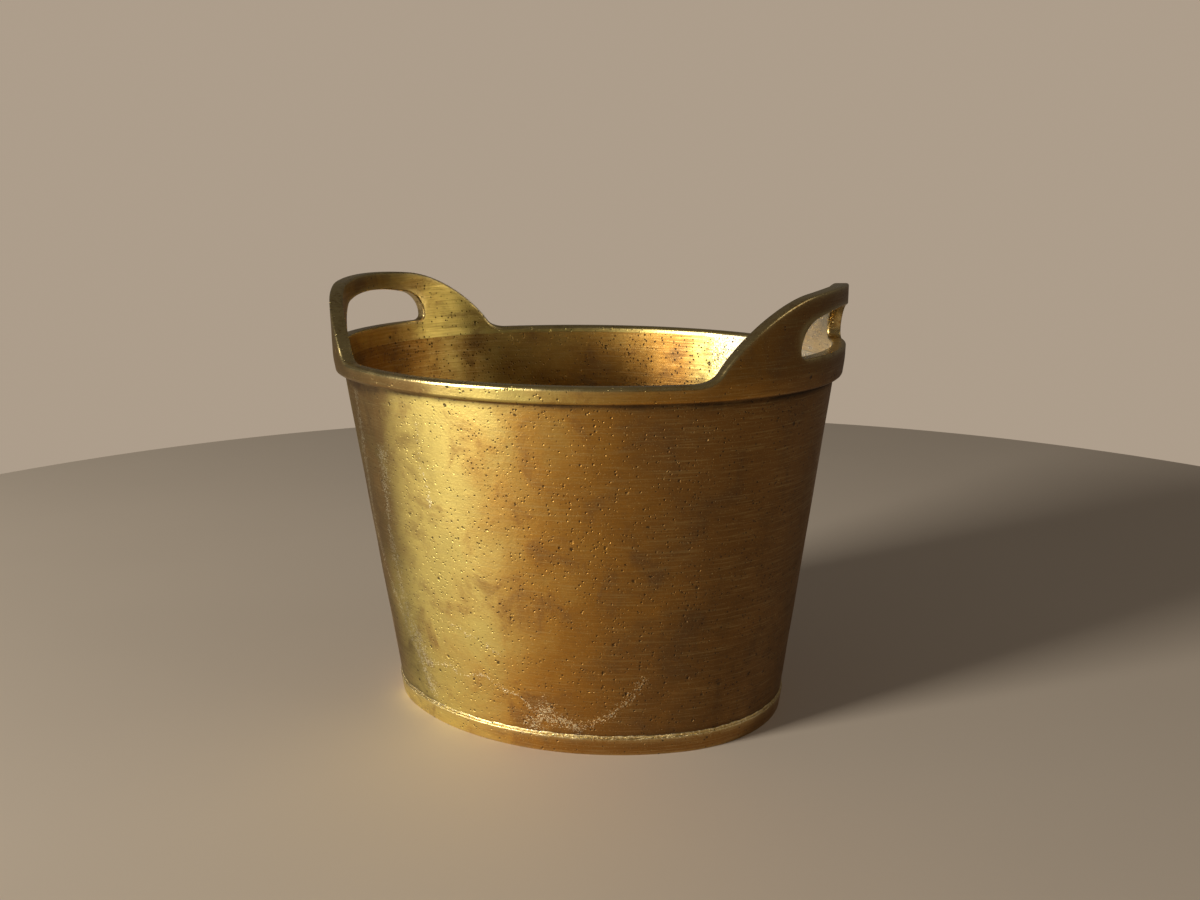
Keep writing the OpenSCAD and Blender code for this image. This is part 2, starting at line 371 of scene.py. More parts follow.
class Finish:
    """One material: each method adds a node and gives its output"""

    def __init__(self, name):
        self.material = bpy.data.materials.new(name)
        self.material.use_nodes = True
        self.tree = self.material.node_tree
        self.shader = self.tree.nodes["Principled BSDF"]
        self.place = self.tree.nodes.new("ShaderNodeTexCoord").outputs["Object"]

    def node(self, kind, values, output=0, **settings):
        made = self.tree.nodes.new(kind)
        for key, value in settings.items():
            setattr(made, key, value)
        for key, value in values.items():
            if isinstance(value, bpy.types.NodeSocket):
                self.tree.links.new(value, made.inputs[key])
            else:
                made.inputs[key].default_value = value
        return made.outputs[output]

    def stretched(self, scale):
        return self.node("ShaderNodeMapping", {"Vector": self.place, "Scale": scale})

    def noise(self, scale, detail=2.0, roughness=0.5, vector=None, distortion=0.0):
        return self.node("ShaderNodeTexNoise",
                         {"Vector": vector or self.place, "Scale": scale,
                          "Detail": detail, "Roughness": roughness,
                          "Distortion": distortion})

    def ramp(self, value, low, high, at_low=0.0, at_high=1.0):
        return self.node("ShaderNodeMapRange",
                         {"Value": value, "From Min": low, "From Max": high,
                          "To Min": at_low, "To Max": at_high},
                         interpolation_type="SMOOTHSTEP")

    def math(self, operation, first, second):
        return self.node("ShaderNodeMath", {0: first, 1: second}, operation=operation)

    def plus(self, first, second):
        return self.math("ADD", first, second)

    def less(self, first, second):
        return self.math("SUBTRACT", first, second)

    def times(self, first, second):
        return self.math("MULTIPLY", first, second)

    def swing(self, value, amount):
        """A noise about its middle, 0.5, times an amount."""
        return self.times(self.less(value, 0.5), amount)

    def vector(self, operation, first, second):
        return self.node("ShaderNodeVectorMath", {0: first, 1: second},
                         operation=operation)

    def mix(self, amount, first, second):
        def paint(value):
            return value if isinstance(value, bpy.types.NodeSocket) else (*value, 1.0)
        return self.node("ShaderNodeMix",
                         {0: amount, 6: paint(first), 7: paint(second)},
                         output=2, data_type="RGBA")

    def mark(self, name):
        return self.node("ShaderNodeAttribute", {}, output=2, attribute_name=name)

    def give(self, **sockets):
        for name, value in sockets.items():
            socket = self.shader.inputs[name.replace("_", " ")]
            if isinstance(value, bpy.types.NodeSocket):
                self.tree.links.new(value, socket)
            else:
                socket.default_value = value


def pitted(f, ragged_way, scale, radius, share_kept, seed):
    """Ragged pits: cells of a few sizes, kept where a slow noise and the cell's own
    chance allow. Gives 1 at the bottom of a pit and 0 outside it."""
    shifted = f.node("ShaderNodeMapping", {"Vector": f.place,
                                           "Location": (seed, 2 * seed, 3 * seed)})
    ragged = f.vector("SUBTRACT", ragged_way, (0.5, 0.5, 0.5))
    ragged = f.vector("MULTIPLY", ragged, (1.1 * radius,) * 3)
    shifted = f.vector("ADD", shifted, ragged)
    cell = f.node("ShaderNodeTexVoronoi", {"Vector": shifted, "Scale": scale})
    chance = cell.node.outputs["Color"]
    picked = f.node("ShaderNodeSeparateColor", {0: chance})
    size = f.node("ShaderNodeSeparateColor", {0: chance}, output=1)
    crowd = f.ramp(f.noise(19.0, 3.0, 0.6, vector=shifted), 0.40, 0.66, -0.25, 0.30)
    kept = f.ramp(f.plus(picked, crowd), 1.0 - share_kept, 1.02 - share_kept)
    reach = f.ramp(size, 0.0, 1.0, 0.45 * radius * scale, radius * scale)
    return f.times(f.ramp(f.math("DIVIDE", cell, reach), 1.0, 0.35), kept)


def cast_brass(name, look, tone=0.0, pits=0.5, shine=0.0, grit=1.0):
    """Brushed and tarnished cast brass. All relief is in millimetres.

    Colour drifts between gold and warm brown in broad clouds, with patina in smaller
    blotches; fine level streaks are brushed round the pot; small pits open where a
    slow noise is high. Painted light falling from the left lies over the tarnish: gold
    with a painted yellow highlight towards the left end, and warm brown and patina
    painted as shade at the far left edge and towards the right end. The piece's own
    marks add bright worn edges, frayed scratches, where the mark is the distance to a
    scratch over its half width, shade_and_dirt, which is mostly painted shade in
    hollows, under the band and at both ends, and painted_inner_light, which shifts
    the colour inside the pot: painted shade at the left end and a pale painted
    highlight at the right one.
    """
    f = Finish(name)
    cloud = f.noise(6.0, 3.0, 0.5, distortion=0.3)
    blotch = f.noise(38.0, 5.0, 0.65, distortion=0.5)
    streak = f.noise(1.0, 4.0, 0.68, vector=f.stretched((40.0, 40.0, 1400.0)))
    hair = f.noise(1.0, 2.0, 0.6, vector=f.stretched((90.0, 90.0, 3200.0)))
    grain = f.noise(620.0, 3.0, 0.72)
    speck = f.noise(1500.0, 1.0, 0.5)
    edge, fray_far, shade_and_dirt = f.mark("edge"), f.mark("fray"), f.mark("shade_and_dirt")
    painted_inner_light = f.mark("painted_inner_light")
    ragged_way = f.node("ShaderNodeTexNoise", {"Vector": f.place, "Scale": 900.0,
                                               "Detail": 2.0}, output=1)
    small = pitted(f, ragged_way, 480.0, 0.00078, 1.1 * pits, 0.37)
    large = pitted(f, ragged_way, 170.0, 0.00145, 0.34 * pits, 1.91)

    # frayed scratches: dots that thin out with the distance from the scratch
    far = f.plus(f.plus(fray_far, f.swing(f.noise(260.0, 4.0, 0.7), 2.6)),
                 f.ramp(blotch, 0.40, 0.66, 0.7, -0.3))
    chance = f.plus(f.times(grain, 0.5), f.times(speck, 0.5))
    thinned = f.less(chance, f.times(f.math("MAXIMUM", far, 0.0), 0.055))
    fray = f.times(f.ramp(thinned, 0.475, 0.53), f.ramp(far, 3.0, 2.0))
    worn = f.times(edge, f.ramp(f.plus(blotch, grain), 0.66, 1.02))

    # painted light from the left over the tarnish: the colour darkens from the left end
    # to the right one as painted shade; painted_inner_light is 0 on the outside, the
    # painted shade at the far left edge falls only there, and the pale painted
    # highlight is only inside
    along = f.node("ShaderNodeSeparateXYZ", {0: f.place})
    drift = f.plus(f.swing(cloud, 0.24), f.swing(blotch, 0.11))
    along = f.plus(f.plus(along, painted_inner_light), f.plus(drift, tone))
    far_left_shade = f.times(f.ramp(along, -0.080, -0.128), f.ramp(painted_inner_light, -0.12, -0.04))
    pale = f.times(f.ramp(f.plus(along, f.swing(chance, 0.55)), -0.10, -0.17),
                   f.ramp(painted_inner_light, -0.04, -0.12))

    # colour: one stain over the other, each with an amount and a strength
    # painted light from the left: gold blends to warm brown towards the right end as
    # painted shade
    base = f.mix(f.ramp(along, -0.055, 0.045), look.gold, look.warm)
    for amount, strength, stain in (
            # painted highlight: yellow brass in a band towards the left end
            (f.ramp(along, -0.005, -0.070), 0.65, look.highlight_yellow),
            # painted shade at the far left edge, in patina colour
            (far_left_shade, 0.85, look.patina_and_shade),
            # painted highlight: pale metal inside the right end
            (pale, 0.85, look.pale),
            # painted shade towards the right end, in patina colour
            (f.ramp(along, 0.01, 0.11), 0.65, look.patina_and_shade),
            (f.ramp(blotch, 0.50, 0.70), f.less(0.60, f.times(pale, 0.55)),
             look.patina_and_shade),
            (f.ramp(streak, 0.46, 0.70), 0.30, look.patina_and_shade),
            (f.ramp(streak, 0.50, 0.30), 0.22, look.bright),
            (f.ramp(speck, 0.60, 0.80), 0.35, look.bright),
            (worn, 0.80, look.bright),
            (fray, 0.70, look.scratch),
            # painted shade, with some dirt: the shade_and_dirt mark darkens to the dark
            # skin
            (shade_and_dirt, f.ramp(blotch, 0.30, 0.60, 0.60, 1.0), look.soot_and_shade),
            (f.math("MAXIMUM", small, large), 0.8, look.soot_and_shade)):
        base = f.mix(f.times(amount, strength), base, stain)

    rough = f.ramp(streak, 0.3, 0.7, look.roughness - 0.04 - shine,
                   look.roughness + 0.06 - shine)
    for value, amount in ((f.ramp(blotch, 0.4, 0.75), 0.08), (worn, -0.14),
                          (shade_and_dirt, 0.25)):
        rough = f.plus(rough, f.times(value, amount))

    height = f.times(streak, 0.055 * look.brushing)
    for value, tall in ((hair, 0.010 * look.brushing), (grain, 0.085 * grit),
                        (speck, 0.020 * grit), (blotch, 0.30), (small, -0.24),
                        (large, -0.55), (fray, 0.12)):
        height = f.plus(height, f.times(value, tall))
    bump = f.node("ShaderNodeBump", {"Strength": 1.0, "Distance": MM, "Height": height})
    f.give(Base_Color=base, Metallic=1.0, Roughness=rough, Normal=bump,
           Coat_Weight=look.skin, Coat_Roughness=0.42)
    return f.material


# ---------------------------------------------------------------- operators

def settings():
    scene = bpy.context.scene
    return Shape(scene.pot_sizes), scene.pot_finish, scene.pot_sizes.columns


class POT_OT_wall(Operator):
    """Tapered wall: a closed profile of outer face, top, inner face and foot, carried
    round the oval, with a casting's soft unevenness and frayed scratches"""
    bl_idname = "pot.wall"
    bl_label = "Wall"

    def execute(self, context):
        shape, look, columns = settings()
        s = steps_round(shape, columns)
        up = np.linspace(shape.foot_height, shape.wall_top, WALL_ROWS)
        down = np.concatenate([[shape.wall_top, shape.wall_top - SUPPORT],
                               up[::-1][INNER_STEP::INNER_STEP]])
        z = np.concatenate([up, down])[:, None]
        outer = (np.arange(len(z)) < len(up))[:, None]

        # the unevenness fades away over the foot and under the band
        calm = 6 * MM
        free = (np.clip((z - shape.foot_height - 2 * MM) / calm, 0, 1)
                * np.clip((shape.band_bottom - 1.5 * MM - z) / calm, 0, 1))
        uneven = 0.22 * MM * ripple(s, z, shape.around, 4) * free
        distance = np.where(outer, shape.wall_outside(z), shape.wall_inside(z))
        marks = {"edge": 0.0,
                 "fray": np.where(outer, frayed_lines(shape, s, z), NO_SCRATCH),
                 # painted shade, and inside the pot painted light that shades the left
                 # end and lights the right one
                 "shade_and_dirt": wall_painted_shade(shape, s, z, outer),
                 "painted_inner_light": np.where(outer, 0.0, inner_painted_light(shape, s))}
        put_ring("cast_wall", shape.at(s, z, distance + uneven), marks,
                 cast_brass("brushed wall brass", look, pits=0.75),
                 "wall_shell")
        return {"FINISHED"}


# Frayed scratches on the wall: places as a share of the way round the rim from the
# right end's middle and a height in metres, and the scratch's half width
SCRATCHES = (
    (((0.618, 0.190), (0.606, 0.144), (0.600, 0.112), (0.609, 0.089), (0.625, 0.066),
      (0.646, 0.040), (0.661, 0.018)), 0.0028),
    (((0.645, 0.160), (0.634, 0.110), (0.637, 0.072), (0.648, 0.050), (0.662, 0.036)),
     0.0034),
    (((0.662, 0.036), (0.689, 0.0395), (0.705, 0.038), (0.722, 0.040), (0.743, 0.0333),
      (0.758, 0.0282), (0.775, 0.019)), 0.0010),
    (((0.768, 0.020), (0.790, 0.017), (0.812, 0.021), (0.830, 0.031), (0.845, 0.046)),
     0.0022),
    (((0.763, 0.016), (0.772, 0.026)), 0.0032),
    (((0.690, 0.182), (0.688, 0.160), (0.692, 0.135)), 0.0007),
    (((0.695, 0.066), (0.722, 0.062), (0.742, 0.055)), 0.0010),
    (((0.240, 0.120), (0.262, 0.090), (0.268, 0.052), (0.300, 0.034)), 0.0010),
    (((0.050, 0.150), (0.062, 0.100), (0.048, 0.060)), 0.0009),
)


def frayed_lines(shape, s, z):
    """Distance of each point of the wall from the nearest scratch, over that
    scratch's half width: the smallest distance to any straight stretch of a path,
    measured on the unrolled wall after a small wander."""
    wander = 3.2 * MM
    moved = [place + wander * ripple(s, z, shape.around, seed, longest=0.05,
                                     shortest=0.006)
             for place, seed in ((s, 81), (z, 82))]
    flat = np.stack(np.broadcast_arrays(*moved), axis=-1)
    nearest = np.full(flat.shape[:2], NO_SCRATCH)
    for path, half_width in SCRATCHES:
        for start, end in zip(path[:-1], path[1:]):
            a = np.array(start) * (shape.around, 1)
            way = np.array(end) * (shape.around, 1) - a
            part = np.clip((flat - a) @ way / (way @ way), 0, 1)
            far = np.linalg.norm(flat - a - part[..., None] * way, axis=-1)
            nearest = np.minimum(nearest, far / half_width)
    return nearest


def wall_painted_shade(shape, s, z, outer):
    """Painted shade of the wall: a painted shadow under the band, painted shade over
    the foot, in a patch at the left end and one at the right, and inside the pot, where
    it deepens towards the floor."""
    band, foot = shape.band_bottom, shape.foot_height
    # painted shadow under the band, and painted shade in the crease over the foot
    under = np.exp(-np.clip(band - 1.6 * MM - z, 0, None) / (1.6 * MM))
    over = 0.35 * np.exp(-np.clip(z - foot - 1.8 * MM, 0, None) / (1.2 * MM))
    # share of the way round from the right end's middle, counted from 0.25 to 1.25
    way = np.mod(s / shape.around - 0.25, 1.0) + 0.25
    # painted shade at the left end, reaching round to the front, and at the right end,
    # deeper lower down
    left = 0.75 * fade(way, 0.43, 0.53) * fade(way, 0.684, 0.634)
    right = (0.40 * fade(way, 0.76, 0.90) * fade(way, 1.12, 0.98)
             * np.clip((band - z) / (120 * MM), 0.15, 1))
    # painted shade inside the pot, deepening towards the floor
    deep = 90 * MM
    inside = 0.15 + 0.45 * np.clip((deep - z) / deep, 0, 1)
    return np.where(outer, np.clip(1.25 * under + over + left + right, 0, 0.95), inside)


def inner_painted_light(shape, s):
    """Painted light inside the pot, as a shift of the colour: painted shade at the left
    end, and a pale painted highlight at the right one.
    """
    side = shape.oval(s)[0][..., 0] / (shape.sizes.rim_length / 2)
    return np.interp(side, [-1.0, 0.0, 0.15, 0.55, 0.9],
                     [0.16, 0.05, 0.02, -0.34, -0.48])


class POT_OT_collar(Operator):
    """Collar with both handles: an outer and an inner sheet on one grid of distance
    along the oval and height, with the finger holes left out, joined by rounded
    edges along the rim and round the holes"""
    bl_idname = "pot.collar"
    bl_label = "Collar with handles"

    def execute(self, context):
        shape, look, columns = settings()
        points, quads, marks = collar_surface(shape, columns)
        put_mesh("cast_collar", points, quads, marks,
                 cast_brass("collar brass", look, tone=-0.05, pits=0.35, shine=0.06),
                 "handle_collar")
        return {"FINISHED"}


def hole_ring(shape, low_count, side_count, inset):
    """Points of a finger hole's outline, moved into the metal by the inset, and the
    directions into the hole, as [y, z] from the lower left corner round.

    The outline is a rectangle with rounded corners and an arched upper edge; each
    point is the centre of a corner or of the arch plus its radius times a direction.
    """
    size = shape.sizes
    half, arch = size.hole_width / 2, size.hole_arch_radius
    low = shape.rim + size.hole_rise
    arch_z = low + size.hole_height - arch
    room = arch - size.hole_height + size.hole_side
    big = min(size.hole_top_radius,
              (arch ** 2 - half ** 2 - room ** 2) / (2 * (arch - half)))
    big_y = half - big
    big_z = arch_z + math.sqrt((arch - big) ** 2 - big_y ** 2)
    small = min(size.hole_low_radius, big_z - low - size.least_step)
    meet = math.degrees(math.atan2(big_z - arch_z, big_y))

    def path(count, *arcs):
        """Even steps along the given arcs and the straights between them."""
        parts = []
        for y, z, radius, start, end in arcs:
            turn = np.radians(np.linspace(start, end, 40))
            way = np.stack([np.cos(turn), np.sin(turn)], axis=-1)
            parts.append((np.array([y, z]) + (radius + inset) * way, way))
        line = np.concatenate([p for p, _ in parts])
        ways = np.concatenate([w for _, w in parts])
        run = np.concatenate([[0], np.cumsum(np.hypot(*np.diff(line, axis=0).T))])
        steps = np.linspace(0, run[-1], count + 1)
        line = np.stack([np.interp(steps, run, line[:, k]) for k in (0, 1)], axis=-1)
        ways = np.stack([np.interp(steps, run, ways[:, k]) for k in (0, 1)], axis=-1)
        return line, -ways / np.linalg.norm(ways, axis=-1, keepdims=True)

    low_left, low_right = (small - half, low + small), (half - small, low + small)
    high_left, high_right = (-big_y, big_z), (big_y, big_z)
    half_meet, far_meet = meet / 2, 180 - meet
    bottom = path(low_count, (*low_left, small, 225, 270),
                  (*low_right, small, 270, 315))
    right = path(side_count, (*low_right, small, 315, 360),
                 (*high_right, big, 0, half_meet))
    top = path(low_count, (*high_right, big, half_meet, meet),
               (0, arch_z, arch, meet, far_meet),
               (*high_left, big, far_meet, 180 - half_meet))
    left = path(side_count, (*high_left, big, 180 - half_meet, 180),
                (*low_left, small, 180, 225))
    return bottom, right, top, left


def collar_columns(shape, columns, span):
    """Distances along the oval of the collar's columns, moved near each handle so that
    a finger hole takes span columns on each side of its middle."""
    size = shape.sizes
    half_around, even = shape.around / 2, span * shape.around / columns
    half_hole = shape.along_end(size.hole_width / 2 + size.hole_round)
    stretch = (HANDLE_ZONE - half_hole) / (HANDLE_ZONE - even)
    s = np.arange(columns) * shape.around / columns
    for middle in (0.0, half_around):
        away = (s - middle + half_around) % shape.around - half_around
        past = np.abs(away) - even
        moved = np.where(past <= 1e-9, away * half_hole / even,
                         np.sign(away) * (half_hole + past * stretch))
        s = np.where(np.abs(away) < HANDLE_ZONE, middle + moved, s)
    return np.mod(s, shape.around)


def rounded_edge(inset, thick):
    """Reach and depth of the rows of a rounded edge, from the outer sheet to the inner
    one: an arc, a flat and an arc."""
    turn = np.radians(np.array([67.5, 45, 22.5, 0]))[:, None]
    back, flat = turn[::-1], np.zeros((2, 1))
    reach = [inset * np.cos(turn), inset + flat, inset * np.cos(back)]
    depth = [inset * np.sin(turn) - inset,
             0 * inset - thick * np.array([[0.36], [0.64]]),
             inset - thick - inset * np.sin(back)]
    return np.concatenate(reach), np.concatenate(depth)


def collar_surface(shape, columns):
    """Points, faces and marks of the collar.

    A point's place on either sheet is the oval at a distance s, at a height z. The
    rows rise in even steps from the lower edge to the finger hole's lower edge, to its
    upper edge and to the top. The grid is then drawn to the holes' outlines, with a
    pull that fades with the steps away from them.
    """
    size = shape.sizes
    thick, half_around = shape.collar_wall, shape.around / 2
    span = round(HOLE_SPAN * columns)
    side = HIGH_ROW - LOW_ROW
    s = collar_columns(shape, columns, span)

    # top edge, its rounding and its outward direction in the sheet
    fine = 0.2 * MM
    edge_z, before, after = (shape.handle_edge(shape.oval(s + step)[0][:, 1])
                             for step in (0, -fine, fine))
    slope = (after - before) / (2 * fine)
    up = np.stack([-slope, np.ones(columns)], axis=-1)
    up /= np.sqrt(1 + slope ** 2)[:, None]
    on_rim = np.clip(1 - (edge_z - shape.rim) / (12 * MM), 0, 1)
    inset = size.handle_round + (size.edge_round - size.handle_round) * on_rim

    bottom, right, top, left = hole_ring(shape, 2 * span, side, size.hole_round)
    middles = [(0.0, np.arange(-span, span + 1) % columns),
               (half_around, columns // 2 + np.arange(-span, span + 1))]

    def sheet(low):
        """Distances along the oval and heights of one sheet's grid."""
        step = np.arange(COLLAR_ROWS + 1)[:, None]
        reach = edge_z[span] - inset[span] - low
        parts = [0, (bottom[0][0, 1] - low) / reach, (top[0][0, 1] - low) / reach, 1]
        part = np.interp(step, [0, LOW_ROW, HIGH_ROW, COLLAR_ROWS], parts)
        grid_s = s[None, :] - (inset * up[:, 0])[None, :] * part ** 3
        grid_z = low + (edge_z - inset * up[:, 1] - low)[None, :] * part
        row_fade = (np.clip(step / LOW_ROW, 0, 1)
                    * np.clip((COLLAR_ROWS - step) / (COLLAR_ROWS - HIGH_ROW), 0, 1))
        near_row = np.clip(step[:, 0], LOW_ROW, HIGH_ROW) - LOW_ROW
        pull_s, pull_z = np.zeros_like(grid_z), np.zeros_like(grid_z)
        for middle, index in middles:
            block_s, block_z = (grid[LOW_ROW:HIGH_ROW + 1][:, index]
                                for grid in (grid_s, grid_z))
            away = (block_s - middle + half_around) % shape.around - half_around
            d_s, d_z = np.zeros_like(block_s), np.zeros_like(block_z)
            for place, line in ((np.s_[0], bottom[0]), (np.s_[-1], top[0][::-1]),
                                (np.s_[:, -1], right[0]), (np.s_[:, 0], left[0][::-1])):
                d_s[place] = shape.along_end(line[:, 0]) - away[place]
                d_z[place] = line[:, 1] - block_z[place]
            half = columns // 2
            offset = (np.arange(columns) - index[span] + half) % columns - half
            near_col = np.clip(offset, -span, span) + span
            pull = row_fade * fade(np.abs(offset) - span, PULL_COLUMNS, 0)[None, :]
            pull_s += d_s[near_row][:, near_col] * pull
            pull_z += d_z[near_row][:, near_col] * pull
        return grid_s + pull_s, grid_z + pull_z

    out_low = shape.band_bottom + size.band_round
    out_s, out_z = sheet(out_low)
    in_s, in_z = sheet(shape.wall_top + SUPPORT)

    blocks, faces, start = [], [], 0

    def add(part_s, part_z, depth, edge):
        """Adds rows of points and gives their numbers."""
        nonlocal start
        part_s, part_z, depth, edge = np.broadcast_arrays(part_s, part_z, depth, edge)
        blocks.append((part_s.ravel(), part_z.ravel(), depth.ravel(), edge.ravel()))
        numbers = start + np.arange(part_s.size).reshape(part_s.shape)
        start += part_s.size
        return numbers

    outer = add(out_s, out_z, 0.0, edge_mark(shape, out_s, out_z))
    inner = add(in_s, in_z, -thick, edge_mark(shape, in_s, in_z))
    reach, depth = rounded_edge(inset[None, :], thick)
    strip = add(out_s[-1] + reach * up[None, :, 0], out_z[-1] + reach * up[None, :, 1],
                depth, 1.0)

    # the two sheets without the finger holes, and the rim's rounded edge
    keep = np.ones((COLLAR_ROWS, columns), dtype=bool)
    for _, index in middles:
        keep[LOW_ROW:HIGH_ROW, index[:-1]] = False
    for grid, kept in ((outer, keep), (inner[::-1], keep[::-1])):
        faces.append(quads_between(grid).reshape(COLLAR_ROWS, columns, 4)[kept])
    faces.append(quads_between(np.concatenate([outer[-1:], strip, inner[-1:]])))

    # each finger hole's rounded edge, over the grid's points round it
    reach, depth = rounded_edge(np.array([[size.hole_round]]), thick)
    way = np.concatenate([part[1][:-1] for part in (bottom, right, top, left)])
    line_j = np.concatenate([np.full(2 * span, LOW_ROW), np.arange(LOW_ROW, HIGH_ROW),
                             np.full(2 * span, HIGH_ROW),
                             np.arange(HIGH_ROW, LOW_ROW, -1)])
    for _, index in middles:
        line_i = np.concatenate([index[:-1], np.full(side, index[-1]),
                                 index[::-1][:-1], np.full(side, index[0])])
        ring = add(out_s[line_j, line_i] + reach * way[None, :, 0],
                   out_z[line_j, line_i] + reach * way[None, :, 1], depth, 0.8)
        faces.append(quads_between(np.concatenate([outer[line_j, line_i][None], ring,
                                                   inner[line_j, line_i][None]])))

    # underside of the band, the lap over the wall and the step on the wall's edge
    round_d, round_z = arc(-size.band_round, out_low, size.band_round, 0, -90, 5)
    lap, top_z = size.gap - size.band_proud, shape.wall_top
    steps = np.array([[lap, shape.band_bottom], [lap, top_z],
                      [size.wall / 2 - thick, top_z], [SUPPORT - thick, top_z],
                      [-thick, top_z]])
    under_d = np.concatenate([round_d[1:], steps[:, :1]])[::-1]
    under_z = np.concatenate([round_z[1:], steps[:, 1:]])[::-1]
    under = add(s[None, :], under_z, under_d, 0.0)
    faces.append(quads_between(np.concatenate([inner[:1], under, outer[:1]])))

    part_s, part_z, depth, edge = (np.concatenate(values) for values in zip(*blocks))
    push = 0.16 * MM * ripple(part_s, part_z, shape.around, 9, longest=0.11,
                              shortest=0.012)
    points = shape.at(part_s, part_z, shape.face(part_z) + depth + push)
    # painted shade on the band's lowest 0.8 mm, where its underside turns away, through
    # the shade_and_dirt mark
    low = np.clip((shape.band_bottom + 0.8 * MM - part_z) / (0.8 * MM), 0, 1)
    outside = depth > -thick + 1e-6
    marks = {"edge": edge, "fray": np.full_like(edge, NO_SCRATCH),
             "shade_and_dirt": np.where(outside, 0.75 * low, 0.05),
             "painted_inner_light": np.where(outside, 0.0, inner_painted_light(shape, part_s))}
    return points, np.concatenate(faces), marks


def edge_mark(shape, s, z):
    """Wear of a sheet's point, 1 at an edge and fading over a few millimetres: the
    larger of the one for the top edge and the one for the finger hole."""
    size = shape.sizes
    y = shape.oval(s)[0][..., 1]
    to_top = shape.handle_edge(y) - z
    corner, tall = size.hole_top_radius / 2, size.hole_height
    low = shape.rim + size.hole_rise
    bow = y ** 2 / (2 * size.hole_arch_radius) * np.clip((z - low) / tall, 0, 1)
    out_y = np.abs(y) - size.hole_width / 2 + corner
    out_z = np.abs(z + bow - low - tall / 2) - tall / 2 + corner
    to_hole = (np.hypot(np.maximum(out_y, 0), np.maximum(out_z, 0))
               + np.minimum(np.maximum(out_y, out_z), 0) - corner)
    near = np.minimum(np.abs(to_top), np.abs(to_hole))
    return np.exp(-np.clip(near - size.hole_round, 0, None) / (1.2 * MM)) * 0.7


class POT_OT_foot(Operator):
    """Foot ring: a closed profile of band, shoulder, lip, ledge and underside, carried
    round the oval"""
    bl_idname = "pot.foot"
    bl_label = "Foot ring"

    def execute(self, context):
        shape, look, columns = settings()
        size = shape.sizes
        s = steps_round(shape, columns)
        top, lip_top, ledge = shape.foot_height, FOOT_HIGH.z, FLOOR_LOW.z
        r = size.foot_round

        def face(z):
            return shape.wall_outside(z) + size.foot_proud

        def lip_outside(z):
            return shape.wall_inside(z) - size.gap

        low_d, low_z = arc(face(0) - r, r, r, -90, 0, 4)
        up_z = np.linspace(r, top - r, 9)[1:-1, None]
        high_d, high_z = arc(face(top) - r, top - r, r, 0, 90, 4)
        band_z = np.concatenate([low_z, up_z, high_z])
        reach = shape.lip_inside(ledge) - size.ledge_width
        inner = np.array([[lip_outside(top), top], [lip_outside(lip_top), lip_top],
                          [shape.lip_inside(lip_top), lip_top],
                          [shape.lip_inside(ledge), ledge], [reach, ledge], [reach, 0]])
        d = np.concatenate([low_d, face(up_z), high_d, inner[:, :1]])
        z = np.concatenate([band_z, inner[:, 1:]])
        on_band = (np.arange(len(z)) < len(band_z))[:, None]
        rough = ripple(s, 0 * z, shape.around, 21, waves=60, longest=0.03,
                       shortest=0.004)
        uneven = np.where(on_band, 0.16 * MM * rough * np.clip(z / top, 0.2, 1), 0.0)
        below = np.abs(z - top)
        wear = np.exp(-below / (1.4 * MM)) + 0.5 * np.exp(-z / (0.9 * MM))
        # the lip, ledge and underside of the foot are darkened as painted shade through
        # the shade_and_dirt mark
        marks = {"edge": np.where(on_band, np.clip(wear, 0, 1), 0.0),
                 "fray": np.where(on_band, below / (0.7 * MM), NO_SCRATCH),
                 "shade_and_dirt": np.where(on_band, 0.0, 0.5)}
        put_ring("cast_foot", shape.at(s, z, d + uneven), marks,
                 cast_brass("foot brass", look, pits=0.4), "foot_ring")
        return {"FINISHED"}


class POT_OT_floor(Operator):
    """Floor plate: rings from the middle of its top to its edge and back to the middle
    of its underside, each a shrunken oval, with a hammered unevenness"""
    bl_idname = "pot.floor"
    bl_label = "Floor plate"

    def execute(self, context):
        shape, look, columns = settings()
        columns //= 2
        s = steps_round(shape, columns)
        high, low = FLOOR_HIGH.z, FLOOR_LOW.z
        share_in = np.linspace(0, 1, 60)[1:, None]

        def layer(z, raised):
            rim = shape.at(s, np.array([[z]]), shape.lip_inside(z) - shape.sizes.gap)
            points = rim * np.array([1, 1, 0]) * share_in[..., None]
            lift = (raised * share_in * (1 - share_in)
                    * ripple(s, share_in * 0.2, shape.around, 33))
            return points + np.stack([0 * lift, 0 * lift, z + lift], axis=-1)

        top, under = layer(high, -1.6 * MM), layer(low, 0.0)
        points = np.concatenate([under.reshape(-1, 3), top[::-1].reshape(-1, 3),
                                 [[0, 0, low], [0, 0, high]]])
        count = len(share_in)
        rows = np.arange(2 * count * columns).reshape(2 * count, columns)
        faces = [quads_between(rows)]
        # the poles: pairs of steps round the middle share one four-sided face
        for ring, pole, flip in ((rows[0], 2 * count * columns, True),
                                 (rows[-1], 2 * count * columns + 1, False)):
            a, b, c = ring[0::2], ring[1::2], np.roll(ring, -2)[0::2]
            cap = np.stack([np.full_like(a, pole), a, b, c], axis=-1)
            faces.append(cap[:, ::-1] if flip else cap)
        quads = np.concatenate(faces)
        near = np.repeat(share_in.ravel(), columns)
        near = np.concatenate([near, near[::-1], [0, 0]])
        # the floor is darkened evenly, and more as painted shade towards the corner at
        # its edge
        marks = {"edge": 0 * near, "fray": np.full_like(near, NO_SCRATCH),
                 "shade_and_dirt": 0.30 + 0.45 * np.clip((near - 0.88) / 0.12, 0, 1)}
        put_mesh("cast_floor", points, quads, marks,
                 cast_brass("floor brass", look, tone=0.06, pits=0.5),
                 "floor_plate")
        return {"FINISHED"}


